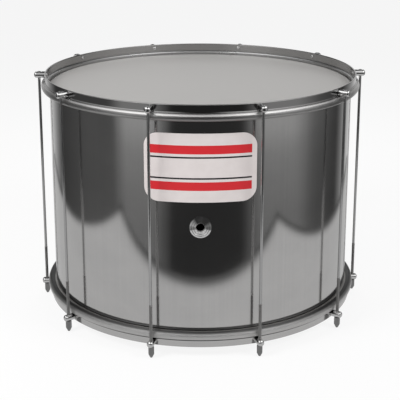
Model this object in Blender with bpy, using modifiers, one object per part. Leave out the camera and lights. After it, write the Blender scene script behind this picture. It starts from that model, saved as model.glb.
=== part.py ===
"""A surdo: a two-headed bass drum with an aluminium shell and ten tension rods.

Units are metres, +Z is up, and the vent faces -Y. The origin is on the floor under the
drum's axis: the drum stands on the tips of its tuning nuts.
"""
import math

import bmesh
import bpy
from mathutils import Matrix, Vector

MM = 0.001

# Driving dimensions of the shell
SHELL_DIAMETER = 610 * MM
SHELL_HEIGHT = 415 * MM
SHELL_WALL = 1.5 * MM
EDGE_ROLL = 3.2 * MM

# Driving dimensions of the heads: a film gripped in the slot of a flesh hoop
FILM_THICKNESS = 0.5 * MM
COLLAR_DROP = 3.6 * MM
FLESH_CLEARANCE = 2.4 * MM
FLESH_WIDTH = 10 * MM
FLESH_HEIGHT = 13 * MM
FLESH_ROUNDING = 3.2 * MM
SLOT_RISE = 1.9 * MM
SLOT_DEPTH = 3.2 * MM

# Driving dimensions of the counterhoops: a strip with an upright band above a round bead
HOOP_SHEET = 2.6 * MM
BAND_HEIGHT = 16 * MM
BEAD_LIP = 0.9 * MM
RIM_ROUNDING = 0.6 * MM

# Driving dimensions of the lugs: turned bars riveted through the band
ROD_COUNT = 10
ROD_PHASE = 19.75
LUG_RADIUS = 6.5 * MM
LUG_INSET = 8 * MM
LUG_OVERHANG = 10 * MM
LUG_DOME = 4.6 * MM
LUG_SEAT_CUT = 0.6 * MM
RIVET_RADIUS = 2.5 * MM
RIVET_HEAD_RADIUS = 3.8 * MM
RIVET_HEAD_HEIGHT = 1.6 * MM
ROD_STANDOFF = 12.5 * MM

# Driving dimensions of the tension rods and tuning nuts
SHANK_RADIUS = 2.7 * MM
THREAD_RADIUS = 3.0 * MM
THREAD_LENGTH = 98 * MM
ROD_HEAD_RADIUS = 4.1 * MM
ROD_HEAD_CONE = 1.8 * MM
ROD_HEAD_DOME = 1.5 * MM
NUT_ACROSS_FLATS = 10 * MM
NUT_HEX_LENGTH = 14.3 * MM
NUT_TIP_LENGTH = 7.5 * MM
NUT_TIP_RADIUS = 1.9 * MM
NUT_CHAMFER = 0.8 * MM
NUT_BORE_DEPTH = 14.5 * MM

# Driving dimensions of the vent: raised rings that step down outwards round a bore
VENT_HEIGHT = 209 * MM
VENT_RADIUS = 20.5 * MM
VENT_RING_COUNT = 3
VENT_CROWN = 3.2 * MM
VENT_STEP = 0.4 * MM
VENT_GROOVE = 0.9 * MM
VENT_RIM = 1.0 * MM
VENT_BORE_RADIUS = 8.6 * MM
VENT_BARREL_WALL = 2.2 * MM
LOCK_RING_RADIUS = 17 * MM
LOCK_RING_THICKNESS = 3.5 * MM
BARREL_END = 1.2 * MM

# Clearance between pieces that touch, and the clearance inside the vent's thread
SEAT_GAP = 0.3 * MM
THREAD_GAP = 0.3 * MM

# Facets: how many flats a turned piece has, the rings' in step with the rods
RING_STEPS = 5 * ROD_COUNT
LUG_STEPS = 8
ROD_STEPS = 8
NUT_STEPS = 12
RIVET_HOLE_STEPS = 8
VENT_STEPS = 24

MERGE = 0.00001
SMOOTH_ANGLE = math.radians(40)

# Radii worked out from the driving dimensions, from the shell's axis outwards
SHELL_RADIUS = SHELL_DIAMETER / 2
SHELL_INNER = SHELL_RADIUS - SHELL_WALL
FILM_INNER = SHELL_RADIUS + SEAT_GAP
FILM_OUTER = FILM_INNER + FILM_THICKNESS
FLESH_INNER = FILM_OUTER + FLESH_CLEARANCE
FLESH_OUTER = FLESH_INNER + FLESH_WIDTH
BEAD_INNER = FLESH_OUTER + SEAT_GAP
BEAD_OUTER = BEAD_INNER + HOOP_SHEET
BAND_MIDDLE = (FLESH_INNER + FLESH_OUTER) / 2
BAND_INNER = BAND_MIDDLE - HOOP_SHEET / 2
BAND_OUTER = BAND_MIDDLE + HOOP_SHEET / 2
ROD_CIRCLE = BAND_OUTER + ROD_STANDOFF
VENT_BARREL = VENT_BORE_RADIUS + VENT_BARREL_WALL

# Heights at each end of the drum, measured outwards from the shell's own end
SLOT_HEIGHT = FILM_THICKNESS + 2 * SEAT_GAP
FLESH_BOTTOM = -COLLAR_DROP - SLOT_RISE
FLESH_TOP = FLESH_BOTTOM + FLESH_HEIGHT
SHOULDER = FLESH_TOP + SEAT_GAP
RIM_RISE = SHOULDER + BAND_HEIGHT

# Heights above the floor
NUT_LENGTH = NUT_HEX_LENGTH + NUT_TIP_LENGTH
LUG_SEAT = LUG_RADIUS - LUG_SEAT_CUT
LOWER_LUG_Z = NUT_LENGTH + SEAT_GAP + LUG_SEAT
BOTTOM_RIM_Z = LOWER_LUG_Z - LUG_INSET
SHELL_BOTTOM_Z = BOTTOM_RIM_Z + RIM_RISE
SHELL_TOP_Z = SHELL_BOTTOM_Z + SHELL_HEIGHT
TOP_RIM_Z = SHELL_TOP_Z + RIM_RISE
UPPER_LUG_Z = TOP_RIM_Z - LUG_INSET

# The holes that the rods pass through
ROD_HOLE_RADIUS = THREAD_RADIUS + SEAT_GAP
NUT_CORNER_RADIUS = NUT_ACROSS_FLATS / 2 / math.cos(math.pi / 6)
SPOT_FACE_RADIUS = max(NUT_CORNER_RADIUS, ROD_HEAD_RADIUS) + SEAT_GAP
COUNTERSINK_RADIUS = ROD_HEAD_RADIUS + SEAT_GAP

FRONT = math.radians(-90)
FIRST_ROD = FRONT + math.radians(ROD_PHASE)


def clear_scene():
    """Remove everything that a new file starts with."""
    for old in list(bpy.data.objects):
        bpy.data.objects.remove(old, do_unlink=True)


def add_collection(name):
    """Make a collection in the scene."""
    collection = bpy.data.collections.new(name)
    bpy.context.scene.collection.children.link(collection)
    return collection


def metal(name, colour, roughness, metallic=1.0):
    """A material with one Principled shader."""
    material = bpy.data.materials.new(name)
    material.use_nodes = True
    shader = material.node_tree.nodes["Principled BSDF"]
    shader.inputs["Base Color"].default_value = (*colour, 1.0)
    shader.inputs["Roughness"].default_value = roughness
    shader.inputs["Metallic"].default_value = metallic
    material.diffuse_color = (*colour, 1.0)
    return material


def turned(name, outline, steps, collection, closed=True):
    """Turn an outline of (radius, height) points about Z with a Screw modifier.

    A ring's outline is closed. A solid's outline is open, from its top centre to its
    bottom centre. Both run down their outer side.
    """
    mesh = bpy.data.meshes.new(name)
    edges = [(index, index + 1) for index in range(len(outline) - 1)]
    if closed:
        edges.append((len(outline) - 1, 0))
    mesh.from_pydata([(radius, 0, height) for radius, height in outline], edges, [])
    piece = bpy.data.objects.new(name, mesh)
    collection.objects.link(piece)
    screw = piece.modifiers.new("Turn", "SCREW")
    screw.steps = steps
    screw.render_steps = steps
    screw.use_merge_vertices = True
    screw.merge_threshold = MERGE
    return piece


def as_cutter(piece):
    """Show a cutter as a wire and keep it out of renders."""
    piece.hide_render = True
    piece.display_type = "WIRE"
    return piece


def combine(piece, other, operation):
    """Add a Boolean modifier."""
    boolean = piece.modifiers.new(operation.title(), "BOOLEAN")
    boolean.operation = operation
    boolean.object = other
    boolean.solver = "EXACT"


def settled_mesh(piece, turn=Matrix.Identity(4)):
    """Give an object's modifiers their final mesh, turned by a matrix, and remove the object."""
    bpy.context.view_layer.update()
    graph = bpy.context.evaluated_depsgraph_get()
    mesh = bpy.data.meshes.new_from_object(piece.evaluated_get(graph))
    mesh.name = piece.name
    bpy.data.objects.remove(piece, do_unlink=True)
    mesh.transform(turn)
    shape = bmesh.new()
    shape.from_mesh(mesh)
    bmesh.ops.remove_doubles(shape, verts=shape.verts, dist=MERGE)
    bmesh.ops.recalc_face_normals(shape, faces=shape.faces)
    shape.to_mesh(mesh)
    shape.free()
    mesh.shade_smooth()
    mesh.set_sharp_from_angle(angle=SMOOTH_ANGLE)
    return mesh


def place(name, mesh, material, collection, location=(0, 0, 0), rotation=(0, 0, 0)):
    """Add a named piece that uses a finished mesh."""
    if not mesh.materials:
        mesh.materials.append(material)
    piece = bpy.data.objects.new(name, mesh)
    piece.location = location
    piece.rotation_euler = rotation
    collection.objects.link(piece)
    return piece


def rounded_corner(centre, radius, start, end, count):
    """Points on an arc from one angle to another, in degrees, about a (radius, height) point."""
    points = []
    for index in range(count):
        angle = math.radians(start + (end - start) * index / (count - 1))
        points.append((centre[0] + radius * math.cos(angle), centre[1] + radius * math.sin(angle)))
    return points


def dome_shoulder(radius, base, rise):
    """The point half way round a dome that rises by a height over a base of a radius."""
    half_way = math.radians(45)
    return radius * math.cos(half_way), base + rise * math.sin(half_way)


def rod_angles():
    """The angle of each tension rod about the drum's axis."""
    return [FIRST_ROD + 2 * math.pi * index / ROD_COUNT for index in range(ROD_COUNT)]


def around(radius, angle, height):
    """A point at a radius and angle about the drum's axis."""
    return Vector((radius * math.cos(angle), radius * math.sin(angle), height))


def shell_outline():
    """The shell's wall, with each bearing edge rolled over inwards."""
    roll_inner = EDGE_ROLL - SHELL_WALL
    centre = SHELL_RADIUS - EDGE_ROLL
    roll_height = SHELL_HEIGHT / 2 - EDGE_ROLL
    top_outside = rounded_corner((centre, roll_height), EDGE_ROLL, 180, 0, 5)
    bottom_outside = rounded_corner((centre, -roll_height), EDGE_ROLL, 0, -180, 5)
    bottom_inside = rounded_corner((centre, -roll_height), roll_inner, -180, 0, 3)
    top_inside = rounded_corner((centre, roll_height), roll_inner, 0, 180, 3)
    return top_outside + bottom_outside + bottom_inside + top_inside


def build_shell(parts, cutters):
    """The aluminium shell, with a round hole in its front for the vent."""
    shell = turned("shell", shell_outline(), RING_STEPS, cutters)
    mesh = settled_mesh(shell, Matrix.Rotation(FIRST_ROD, 4, "Z"))
    middle = (SHELL_BOTTOM_Z + SHELL_TOP_Z) / 2
    material = metal("shell_aluminium", (0.62, 0.62, 0.61), 0.28)
    shell = place("shell", mesh, material, parts, (0, 0, middle))
    hole_radius = VENT_BARREL + THREAD_GAP
    reach = VENT_RADIUS
    hole = turned("vent_hole_cutter", [(0, reach), (hole_radius, reach), (hole_radius, -reach), (0, -reach)],
                  VENT_STEPS, cutters, closed=False)
    hole.rotation_euler = (math.radians(90), 0, 0)
    hole.location = (0, -SHELL_RADIUS, SHELL_BOTTOM_Z + VENT_HEIGHT)
    combine(shell, as_cutter(hole), "DIFFERENCE")


def film_outline():
    """The film: flat across the shell, over its edge, and out into the flesh hoop's slot."""
    top = SEAT_GAP + FILM_THICKNESS
    slot_end = FLESH_INNER + SLOT_DEPTH - SEAT_GAP
    flat_end = SHELL_RADIUS - EDGE_ROLL
    bend = math.sin(math.radians(45)) * (EDGE_ROLL + SEAT_GAP)
    outer_bend = bend + FILM_THICKNESS * math.sin(math.radians(45))
    edge = -EDGE_ROLL
    return [
        (0, top),
        (flat_end, top),
        (flat_end + outer_bend, outer_bend + edge),
        (FILM_OUTER, -COLLAR_DROP + FILM_THICKNESS / 2),
        (slot_end, -COLLAR_DROP + FILM_THICKNESS / 2),
        (slot_end, -COLLAR_DROP - FILM_THICKNESS / 2),
        (FILM_INNER, -COLLAR_DROP - FILM_THICKNESS / 2),
        (flat_end + bend, bend + edge),
        (flat_end, SEAT_GAP),
        (0, SEAT_GAP),
    ]


def flesh_outline():
    """The flesh hoop: a rounded bar with a slot near the foot of its inner side."""
    slot_low = -COLLAR_DROP - SLOT_HEIGHT / 2
    slot_high = -COLLAR_DROP + SLOT_HEIGHT / 2
    return [
        (FLESH_INNER + FLESH_ROUNDING, FLESH_TOP),
        (FLESH_OUTER - FLESH_ROUNDING, FLESH_TOP),
        (FLESH_OUTER, FLESH_TOP - FLESH_ROUNDING),
        (FLESH_OUTER, FLESH_BOTTOM + FLESH_ROUNDING),
        (FLESH_OUTER - FLESH_ROUNDING, FLESH_BOTTOM),
        (FLESH_INNER, FLESH_BOTTOM),
        (FLESH_INNER, slot_low),
        (FLESH_INNER + SLOT_DEPTH, slot_low),
        (FLESH_INNER + SLOT_DEPTH, slot_high),
        (FLESH_INNER, slot_high),
        (FLESH_INNER, FLESH_TOP - FLESH_ROUNDING),
    ]


def counterhoop_outline():
    """The counterhoop: an upright band that swells into a bead over the flesh hoop."""
    lip_bottom = FLESH_BOTTOM - BEAD_LIP
    bead_top = FLESH_TOP - FLESH_ROUNDING
    bead_low = FLESH_BOTTOM + FLESH_ROUNDING
    return [
        (BAND_OUTER - RIM_ROUNDING, RIM_RISE),
        (BAND_OUTER, RIM_RISE - RIM_ROUNDING),
        (BAND_OUTER, SHOULDER + HOOP_SHEET / 2),
        (BEAD_OUTER - FLESH_ROUNDING / 2, bead_top + FLESH_ROUNDING / 2),
        (BEAD_OUTER, bead_top - FLESH_ROUNDING / 2),
        (BEAD_OUTER, bead_low),
        (BEAD_OUTER - FLESH_ROUNDING / 2, lip_bottom),
        (BEAD_OUTER - HOOP_SHEET - FLESH_ROUNDING / 4, lip_bottom),
        (BEAD_INNER, bead_low),
        (BEAD_INNER, bead_top),
        (BEAD_INNER - FLESH_ROUNDING, SHOULDER),
        (BAND_INNER, SHOULDER),
        (BAND_INNER, RIM_RISE),
    ]


def rivet_hole_cutter(cutters):
    """A star of radial bars that cuts the band's rivet holes."""
    shape = bmesh.new()
    reach = ROD_STANDOFF / 2
    hole_height = RIM_RISE - LUG_INSET
    for index in range(ROD_COUNT):
        turn = Matrix.Rotation(2 * math.pi * index / ROD_COUNT, 4, "Z")
        lay = Matrix.Translation((BAND_MIDDLE, 0, hole_height)) @ Matrix.Rotation(math.pi / 2, 4, "Y")
        bmesh.ops.create_cone(shape, cap_ends=True, segments=RIVET_HOLE_STEPS,
                              radius1=RIVET_RADIUS + SEAT_GAP, radius2=RIVET_RADIUS + SEAT_GAP,
                              depth=2 * reach, matrix=turn @ lay)
    mesh = bpy.data.meshes.new("rivet_hole_cutter")
    shape.to_mesh(mesh)
    shape.free()
    cutter = bpy.data.objects.new("rivet_hole_cutter", mesh)
    cutters.objects.link(cutter)
    return as_cutter(cutter)


def build_heads_and_hoops(parts, cutters):
    """The same head, flesh hoop and counterhoop at each end, the lower ones turned over."""
    film = settled_mesh(turned("head_film", film_outline(), RING_STEPS, cutters, closed=False))
    flesh = settled_mesh(turned("flesh_hoop", flesh_outline(), RING_STEPS, cutters))
    hoop = turned("counterhoop", counterhoop_outline(), RING_STEPS, cutters)
    combine(hoop, rivet_hole_cutter(cutters), "DIFFERENCE")
    hoop = settled_mesh(hoop)
    film_white = metal("head_film", (0.44, 0.43, 0.42), 0.3, 0.0)
    flesh_metal = metal("flesh_hoop_aluminium", (0.55, 0.55, 0.54), 0.35)
    chrome = metal("counterhoop_chrome", (0.66, 0.66, 0.65), 0.15)
    ends = [("top", SHELL_TOP_Z, 0.0), ("bottom", SHELL_BOTTOM_Z, math.pi)]
    for end, height, flip in ends:
        turn = (flip, 0, FIRST_ROD)
        place(f"{end}_head", film, film_white, parts, (0, 0, height), turn)
        place(f"{end}_flesh_hoop", flesh, flesh_metal, parts, (0, 0, height), turn)
        place(f"{end}_counterhoop", hoop, chrome, parts, (0, 0, height), turn)


def lug_outline():
    """A lug along its own axis, from the domed end in to the riveted tail."""
    dome_start = LUG_OVERHANG - LUG_DOME
    root = BAND_OUTER + SEAT_GAP - ROD_CIRCLE
    tail = BAND_INNER - SEAT_GAP - ROD_CIRCLE
    return [
        (0, LUG_OVERHANG),
        dome_shoulder(LUG_RADIUS, dome_start, LUG_DOME),
        (LUG_RADIUS, dome_start),
        (LUG_RADIUS, root),
        (RIVET_RADIUS, root),
        (RIVET_RADIUS, tail),
        (RIVET_HEAD_RADIUS, tail),
        (0, tail - RIVET_HEAD_HEIGHT),
    ]


def rod_hole_cutter(cutters):
    """The lug's rod hole, with a countersink and a flat spot face on its outer side."""
    reach = LUG_RADIUS * 2
    outline = [
        (0, reach),
        (SPOT_FACE_RADIUS, reach),
        (SPOT_FACE_RADIUS, LUG_SEAT),
        (COUNTERSINK_RADIUS, LUG_SEAT),
        (ROD_HOLE_RADIUS, LUG_SEAT - ROD_HEAD_CONE),
        (ROD_HOLE_RADIUS, -reach),
        (0, -reach),
    ]
    return as_cutter(turned("rod_hole_cutter", outline, ROD_STEPS, cutters, closed=False))


def build_lugs(parts, cutters):
    """Twenty lugs, one above and one below each rod, the lower ones turned over."""
    bar = turned("lug_bar", lug_outline(), LUG_STEPS, cutters, closed=False)
    bar_mesh = settled_mesh(bar, Matrix.Rotation(math.pi / 2, 4, "Y"))
    bar = bpy.data.objects.new("lug", bar_mesh)
    cutters.objects.link(bar)
    combine(bar, rod_hole_cutter(cutters), "DIFFERENCE")
    lug = settled_mesh(bar)
    chrome = metal("lug_chrome", (0.66, 0.66, 0.65), 0.12)
    for index, angle in enumerate(rod_angles(), 1):
        place(f"upper_lug_{index:02d}", lug, chrome, parts,
              around(ROD_CIRCLE, angle, UPPER_LUG_Z), (0, 0, angle))
        place(f"lower_lug_{index:02d}", lug, chrome, parts,
              around(ROD_CIRCLE, angle, LOWER_LUG_Z), (math.pi, 0, angle))


def rod_outline():
    """A tension rod: countersunk head, plain shank and thread, down to its end in the nut."""
    seat = UPPER_LUG_Z + LUG_SEAT
    neck = seat - ROD_HEAD_CONE
    end = NUT_LENGTH - NUT_BORE_DEPTH + SEAT_GAP
    thread_top = end + THREAD_LENGTH
    return [
        (0, seat + ROD_HEAD_DOME),
        dome_shoulder(ROD_HEAD_RADIUS, seat, ROD_HEAD_DOME),
        (ROD_HEAD_RADIUS, seat),
        (SHANK_RADIUS, neck),
        (SHANK_RADIUS, thread_top + (THREAD_RADIUS - SHANK_RADIUS)),
        (THREAD_RADIUS, thread_top),
        (THREAD_RADIUS, end),
        (0, end),
    ]


def build_rods(parts, cutters):
    """Ten tension rods, each hung by its head in an upper lug."""
    rod = settled_mesh(turned("tension_rod", rod_outline(), ROD_STEPS, cutters, closed=False))
    steel = metal("rod_steel", (0.42, 0.42, 0.42), 0.3)
    for index, angle in enumerate(rod_angles(), 1):
        place(f"tension_rod_{index:02d}", rod, steel, parts, around(ROD_CIRCLE, angle, 0), (0, 0, angle))


def build_nuts(parts, cutters):
    """Ten tuning nuts: hexagons with a cone below, bored from above, the drum's feet.

    A turned blank, just wide enough to hold the hexagon, gives the chamfer and the cone.
    """
    wide = (NUT_CORNER_RADIUS + SEAT_GAP) / math.cos(math.pi / NUT_STEPS)
    flare = (wide - NUT_TIP_RADIUS) / (NUT_CORNER_RADIUS - NUT_TIP_RADIUS)
    outline = [
        (0, NUT_LENGTH),
        (wide - 2 * NUT_CHAMFER, NUT_LENGTH),
        (wide, NUT_LENGTH - NUT_CHAMFER),
        (wide, NUT_TIP_LENGTH * flare),
        (NUT_TIP_RADIUS, 0),
        (0, 0),
    ]
    nut = turned("tuning_nut", outline, NUT_STEPS, cutters, closed=False)
    reach = NUT_LENGTH
    hexagon = turned("nut_flats_cutter", [(0, 2 * reach), (NUT_CORNER_RADIUS, 2 * reach),
                                          (NUT_CORNER_RADIUS, -reach), (0, -reach)],
                     6, cutters, closed=False)
    bore_end = NUT_LENGTH - NUT_BORE_DEPTH
    bore = turned("nut_bore_cutter", [(0, 2 * reach), (ROD_HOLE_RADIUS, 2 * reach),
                                      (ROD_HOLE_RADIUS, bore_end), (0, bore_end)],
                  ROD_STEPS, cutters, closed=False)
    combine(nut, as_cutter(hexagon), "INTERSECT")
    combine(nut, as_cutter(bore), "DIFFERENCE")
    nut = settled_mesh(nut)
    plated = metal("nut_plating", (0.5, 0.5, 0.5), 0.25)
    for index, angle in enumerate(rod_angles(), 1):
        place(f"tuning_nut_{index:02d}", nut, plated, parts, around(ROD_CIRCLE, angle, 0), (0, 0, angle))


def vent_outline(lock_face):
    """The vent: raised rings round a bore, and a barrel through the shell."""
    barrel_end = lock_face - LOCK_RING_THICKNESS - BARREL_END
    ring_width = (VENT_RADIUS - VENT_BORE_RADIUS) / VENT_RING_COUNT
    outline = []
    for ring in range(VENT_RING_COUNT):
        groove = VENT_BORE_RADIUS + ring * ring_width
        crown = VENT_CROWN - ring * VENT_STEP
        outline += [(groove, crown - VENT_GROOVE), (groove + ring_width / 2, crown)]
    outline += [
        (VENT_RADIUS, VENT_RIM),
        (VENT_RADIUS, 0),
        (VENT_BARREL, 0),
        (VENT_BARREL, barrel_end),
        (VENT_BORE_RADIUS, barrel_end),
    ]
    return outline


def build_vent(parts, cutters):
    """The vent's flange outside the shell and its lock ring inside."""
    out_of_front = Matrix.Rotation(math.pi / 2, 4, "X")
    flat_inner = SHELL_INNER * math.cos(math.pi / RING_STEPS)
    lock_seat = math.sqrt(flat_inner ** 2 - LOCK_RING_RADIUS ** 2) - SEAT_GAP
    base = SHELL_RADIUS + SEAT_GAP
    lock_face = lock_seat - base
    flange = turned("vent_flange", vent_outline(lock_face), VENT_STEPS, cutters)
    flange = settled_mesh(flange, out_of_front)
    ring_inner = VENT_BARREL + THREAD_GAP
    edge = LOCK_RING_THICKNESS / 5
    ring_outline = [
        (LOCK_RING_RADIUS, lock_face),
        (LOCK_RING_RADIUS, lock_face - LOCK_RING_THICKNESS + edge),
        (LOCK_RING_RADIUS - edge, lock_face - LOCK_RING_THICKNESS),
        (ring_inner, lock_face - LOCK_RING_THICKNESS),
        (ring_inner, lock_face),
    ]
    lock_ring = settled_mesh(turned("vent_lock_ring", ring_outline, VENT_STEPS, cutters), out_of_front)
    middle = (0, -base, SHELL_BOTTOM_Z + VENT_HEIGHT)
    chrome = metal("vent_chrome", (0.66, 0.66, 0.65), 0.15)
    place("vent_flange", flange, chrome, parts, middle)
    place("vent_lock_ring", lock_ring, metal("lock_ring_steel", (0.5, 0.5, 0.5), 0.35), parts, middle)


def build_drum():
    """Build the whole drum."""
    clear_scene()
    parts = add_collection("surdo")
    cutters = add_collection("cutters")
    build_shell(parts, cutters)
    build_heads_and_hoops(parts, cutters)
    build_lugs(parts, cutters)
    build_rods(parts, cutters)
    build_nuts(parts, cutters)
    build_vent(parts, cutters)


build_drum()
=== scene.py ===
# %% [markdown]
# # A surdo: a big bass drum with ten tension rods
#
# The drum is a polished aluminium shell with a milky film head at each end. A bright
# counterhoop presses each head down, ten long rods pull the two hoops together, and the
# nuts below are the drum's feet. The solids come from the frame, at their real size. This
# lesson gives each of them a finely modelled skin and a finish made of shader nodes.

# %% Load the frame
import math

import bmesh
import bpy
from mathutils import Matrix, Vector


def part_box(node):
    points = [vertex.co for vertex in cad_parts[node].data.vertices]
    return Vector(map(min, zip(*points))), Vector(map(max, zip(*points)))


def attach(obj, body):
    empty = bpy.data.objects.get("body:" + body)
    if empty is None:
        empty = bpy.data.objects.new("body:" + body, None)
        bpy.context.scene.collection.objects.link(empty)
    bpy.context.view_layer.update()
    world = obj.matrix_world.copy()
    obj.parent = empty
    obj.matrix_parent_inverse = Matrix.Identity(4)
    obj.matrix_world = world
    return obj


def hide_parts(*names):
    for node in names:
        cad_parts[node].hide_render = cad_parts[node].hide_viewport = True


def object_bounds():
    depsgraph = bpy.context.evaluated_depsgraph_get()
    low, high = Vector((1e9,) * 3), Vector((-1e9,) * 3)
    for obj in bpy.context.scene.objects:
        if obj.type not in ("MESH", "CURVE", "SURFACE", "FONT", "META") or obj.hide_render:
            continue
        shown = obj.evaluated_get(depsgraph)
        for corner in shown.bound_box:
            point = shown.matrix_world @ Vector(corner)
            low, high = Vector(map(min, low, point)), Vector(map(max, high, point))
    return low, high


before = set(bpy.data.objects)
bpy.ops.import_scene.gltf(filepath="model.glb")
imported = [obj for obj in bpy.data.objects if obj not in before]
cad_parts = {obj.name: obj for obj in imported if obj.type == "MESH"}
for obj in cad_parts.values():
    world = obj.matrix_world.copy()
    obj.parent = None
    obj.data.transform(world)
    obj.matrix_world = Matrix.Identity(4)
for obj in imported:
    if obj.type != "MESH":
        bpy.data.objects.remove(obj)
cad_low, cad_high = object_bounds()
bpy.ops.object.select_all(action="DESELECT")
MM = 0.001
print("the drum measures", [round(side / MM, 1) for side in cad_high - cad_low], "mm")

# %% [markdown]
# ## Sizes read from the frame
#
# Every fine piece has to sit where its solid sits. The radii and heights are therefore
# measured on the solids, whose corners lie on the true circles, and only the details that
# the solids leave out get sizes of their own.

# %% Measure the solids


def ring_radii(node):
    """The smallest and largest distance of a solid's corners from the drum's axis."""
    distances = [point.co.xy.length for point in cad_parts[node].data.vertices]
    return min(distances), max(distances)


def heights(node):
    """The lowest and highest point of a solid."""
    low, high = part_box(node)
    return low.z, high.z


SHELL_RADIUS = ring_radii("shell")[1]
SHELL_LOW, SHELL_HIGH = heights("shell")
FLESH_INNER, FLESH_OUTER = ring_radii("top_flesh_hoop")
BAND_INNER, BEAD_OUTER = ring_radii("top_counterhoop")
HOOP_LOW, HOOP_HIGH = [height - SHELL_HIGH for height in heights("top_counterhoop")]
FLESH_LOW, FLESH_HIGH = [height - SHELL_HIGH for height in heights("top_flesh_hoop")]
FILM_LOW, FILM_HIGH = [height - SHELL_HIGH for height in heights("top_head")]
ROD_LOW, ROD_HIGH = heights("tension_rod_01")
NUT_HIGH = heights("tuning_nut_01")[1]
UPPER_LUG_Z = sum(heights("upper_lug_01")) / 2
LOWER_LUG_Z = sum(heights("lower_lug_01")) / 2
rod_low, rod_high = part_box("tension_rod_01")
ROD_CIRCLE = ((rod_low + rod_high) / 2).xy.length
ROD_NAMES = [f"{number:02d}" for number in range(1, 11)]
vent_low, vent_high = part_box("vent_flange")
VENT_Z = (vent_low.z + vent_high.z) / 2
VENT_RADIUS = (vent_high.x - vent_low.x) / 2
print("shell radius", round(SHELL_RADIUS / MM, 1), "rod circle", round(ROD_CIRCLE / MM, 1), "mm")


def rod_angle(name):
    """The angle of a rod about the drum's axis."""
    low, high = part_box(f"tension_rod_{name}")
    middle = (low + high) / 2
    return math.atan2(middle.y, middle.x)


# %% [markdown]
# ## Modelling tools
#
# Almost everything here was turned on a lathe or rolled from strip, so one tool does most of
# the work. It draws half of a section as a chain of points, as a draughtsman would, and spins
# the chain round the axis. Where a straight wall meets a bend, the section holds one more
# point half a millimetre off the bend, so that smooth shading bends the light there and leaves
# the wall flat. An operator acts on all that is selected, so each tool starts by deselecting
# everything.

# %% Draw and turn a section
WELD = 0.002 * MM
HOLD = 0.5 * MM


def arc(centre, radii, start, end, count):
    """Points of an elliptical arc in a section, from one angle to another in degrees."""
    points = []
    for index in range(count):
        angle = math.radians(start + (end - start) * index / (count - 1))
        points.append((centre[0] + radii[0] * math.cos(angle),
                       centre[1] + radii[1] * math.sin(angle)))
    return points


def draw_section(name, points):
    """Draw a chain of (radius, height) points from one vertex, and stay in edit mode."""
    bpy.ops.object.select_all(action="DESELECT")
    bpy.ops.mesh.primitive_plane_add(size=MM, location=(0, 0, 0))
    piece = bpy.context.object
    piece.name = piece.data.name = name
    bpy.ops.object.mode_set(mode="EDIT")
    bpy.ops.mesh.select_mode(type="VERT")
    bpy.ops.mesh.merge(type="CENTER")
    bpy.ops.transform.translate(value=(points[0][0], 0, points[0][1]))
    for (radius, height), (next_radius, next_height) in zip(points, points[1:]):
        step = (next_radius - radius, 0, next_height - height)
        bpy.ops.mesh.extrude_vertices_move(TRANSFORM_OT_translate={"value": step})
    return piece


def turn(name, points, steps, ring=True):
    """Spin a section round Z: a closed one for a ring, or one from axis to axis for a solid."""
    piece = draw_section(name, points + points[:1] if ring else points)
    bpy.ops.mesh.select_all(action="SELECT")
    bpy.ops.mesh.spin(steps=steps, angle=2 * math.pi, center=(0, 0, 0), axis=(0, 0, 1))
    bpy.ops.mesh.select_all(action="SELECT")
    bpy.ops.mesh.remove_doubles(threshold=WELD)
    bpy.ops.mesh.normals_make_consistent(inside=False)
    bpy.ops.object.mode_set(mode="OBJECT")
    return piece


# %% Place, cut, smooth and copy
SMOOTH = math.radians(32)


def settle(piece, matrix):
    """Put a piece's place into its mesh, and leave the object at the origin."""
    piece.data.transform(matrix)
    piece.data.update()
    return piece


def boolean(piece, other, operation):
    """Cut or join with another piece, which is used up."""
    bpy.ops.object.select_all(action="DESELECT")
    bpy.context.view_layer.objects.active = piece
    piece.select_set(True)
    step = piece.modifiers.new(operation.title(), "BOOLEAN")
    step.operation, step.object, step.solver = operation, other, "EXACT"
    bpy.ops.object.modifier_apply(modifier=step.name)
    bpy.data.objects.remove(other, do_unlink=True)
    return piece


def smooth(piece, angle=SMOOTH):
    """Shade a piece smooth except at its sharp edges."""
    bpy.ops.object.select_all(action="DESELECT")
    bpy.context.view_layer.objects.active = piece
    piece.select_set(True)
    bpy.ops.object.shade_smooth_by_angle(angle=angle)
    return piece


def copy_piece(piece, name, matrix):
    """A copy with its own mesh, moved there."""
    twin = piece.copy()
    twin.data = piece.data.copy()
    twin.name = twin.data.name = name
    bpy.context.scene.collection.objects.link(twin)
    return settle(twin, matrix)


def finish_piece(piece, body, slot, material, *nodes):
    """Give a piece its material, its body and the solids that it stands for; its slot is not used."""
    piece.data.materials.clear()
    piece.data.materials.append(material)
    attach(piece, body)
    if nodes:
        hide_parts(*nodes)
    return piece


def end_matrix(end):
    """From a section's heights beyond the shell's end to the drum: the lower end is turned over."""
    if end == "top":
        return Matrix.Translation((0, 0, SHELL_HIGH))
    return Matrix.Translation((0, 0, SHELL_LOW)) @ Matrix.Rotation(math.pi, 4, "X")


# %% [markdown]
# ## Shader tools
#
# A finish is easier to read as arithmetic than as a web of nodes. Wire wraps one output of a
# node, and its operators add Math nodes, so `0.2 + grain * 0.1` can be written as it is. Every
# other node comes from one method that takes the node's type, its settings and its inputs.

# %% A wire


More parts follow.
